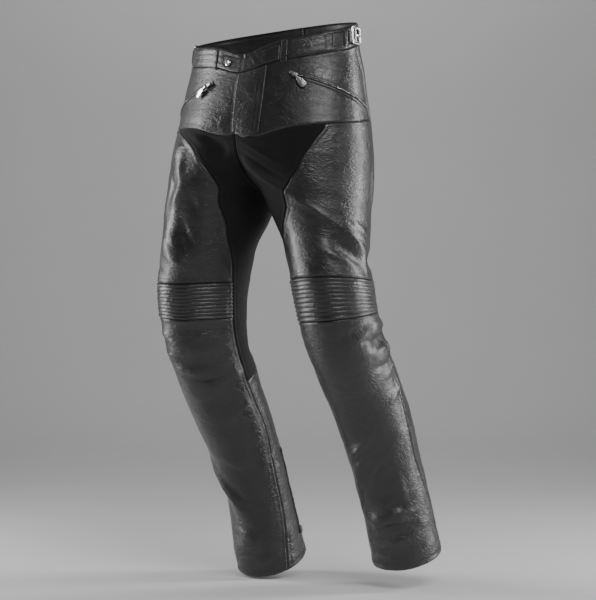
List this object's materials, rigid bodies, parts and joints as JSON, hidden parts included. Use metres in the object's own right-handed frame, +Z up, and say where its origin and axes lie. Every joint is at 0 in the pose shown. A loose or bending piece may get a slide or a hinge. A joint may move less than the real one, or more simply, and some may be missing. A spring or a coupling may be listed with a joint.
{
  "type": "motorcycle trousers",
  "caption": "Leather motorcycle trousers held open as worn, with stretch inner legs, ribbed knee panels, zipped pockets, waist straps and zipped calves.",
  "frame": {"origin": "middle of the waist opening, where the wearer's waist holds the trousers", "axes": "+Z up, -Y the way the wearer faces, +X the wearer's left"},
  "size_m": [0.4609, 0.4628, 1.1167],
  "materials": {
    "leather": "black smooth leather with a soft sheen",
    "leather_trim": "black leather, topstitched",
    "stretch_fabric": "matte black stretch fabric",
    "zip_tape": "black woven zip tape",
    "zip_metal": "bright metal, lightly worn",
    "polished_metal": "polished metal"
  },
  "bodies": {
    "root": {"waistband_front_left": "leather", "waistband_back_left": "leather", "front_yoke_left": "leather", "front_thigh_left": "leather", "knee_ribs_left": "leather", "shin_left": "leather", "back_left": "leather", "gusset_left": "stretch_fabric", "adjuster_strap_left": "leather_trim", "strap_keeper_left": "leather_trim", "pocket_welt_left": "leather_trim", "calf_welt_left": "leather_trim", "buckle_left": "polished_metal", "pocket_zip_left": "zip_tape", "calf_zip_left": "zip_tape", "pocket_slider_left": "zip_metal", "calf_slider_left": "zip_metal", "waistband_front_right": "leather", "waistband_back_right": "leather", "front_yoke_right": "leather", "front_thigh_right": "leather", "knee_ribs_right": "leather", "shin_right": "leather", "back_right": "leather", "gusset_right": "stretch_fabric", "adjuster_strap_right": "leather_trim", "strap_keeper_right": "leather_trim", "pocket_welt_right": "leather_trim", "calf_welt_right": "leather_trim", "buckle_right": "polished_metal", "pocket_zip_right": "zip_tape", "calf_zip_right": "zip_tape", "pocket_slider_right": "zip_metal", "calf_slider_right": "zip_metal", "fly_placket": "leather_trim", "waist_tab": "leather_trim", "belt_loop_front_left": "leather_trim", "belt_loop_front_right": "leather_trim", "belt_loop_back_left": "leather_trim", "belt_loop_back_right": "leather_trim", "belt_loop_centre": "leather_trim", "snap_button": "polished_metal"},
    "pull_left": {"pocket_pull_left": "zip_metal"},
    "pull_right": {"pocket_pull_right": "zip_metal"}
  },
  "joints": [
    {"name": "pull_hinge_left", "type": "hinge", "parent": "root", "child": "pull_left", "pos_m": [0.11339, -0.10473, -0.09388], "axis": [-0.6277, -0.4314, -0.648], "range_deg": [0, 130]},
    {"name": "pull_hinge_right", "type": "hinge", "parent": "root", "child": "pull_right", "pos_m": [-0.08034, -0.12176, -0.10606], "axis": [-0.5125, 0.3687, 0.7755], "range_deg": [0, 130]}
  ]
}
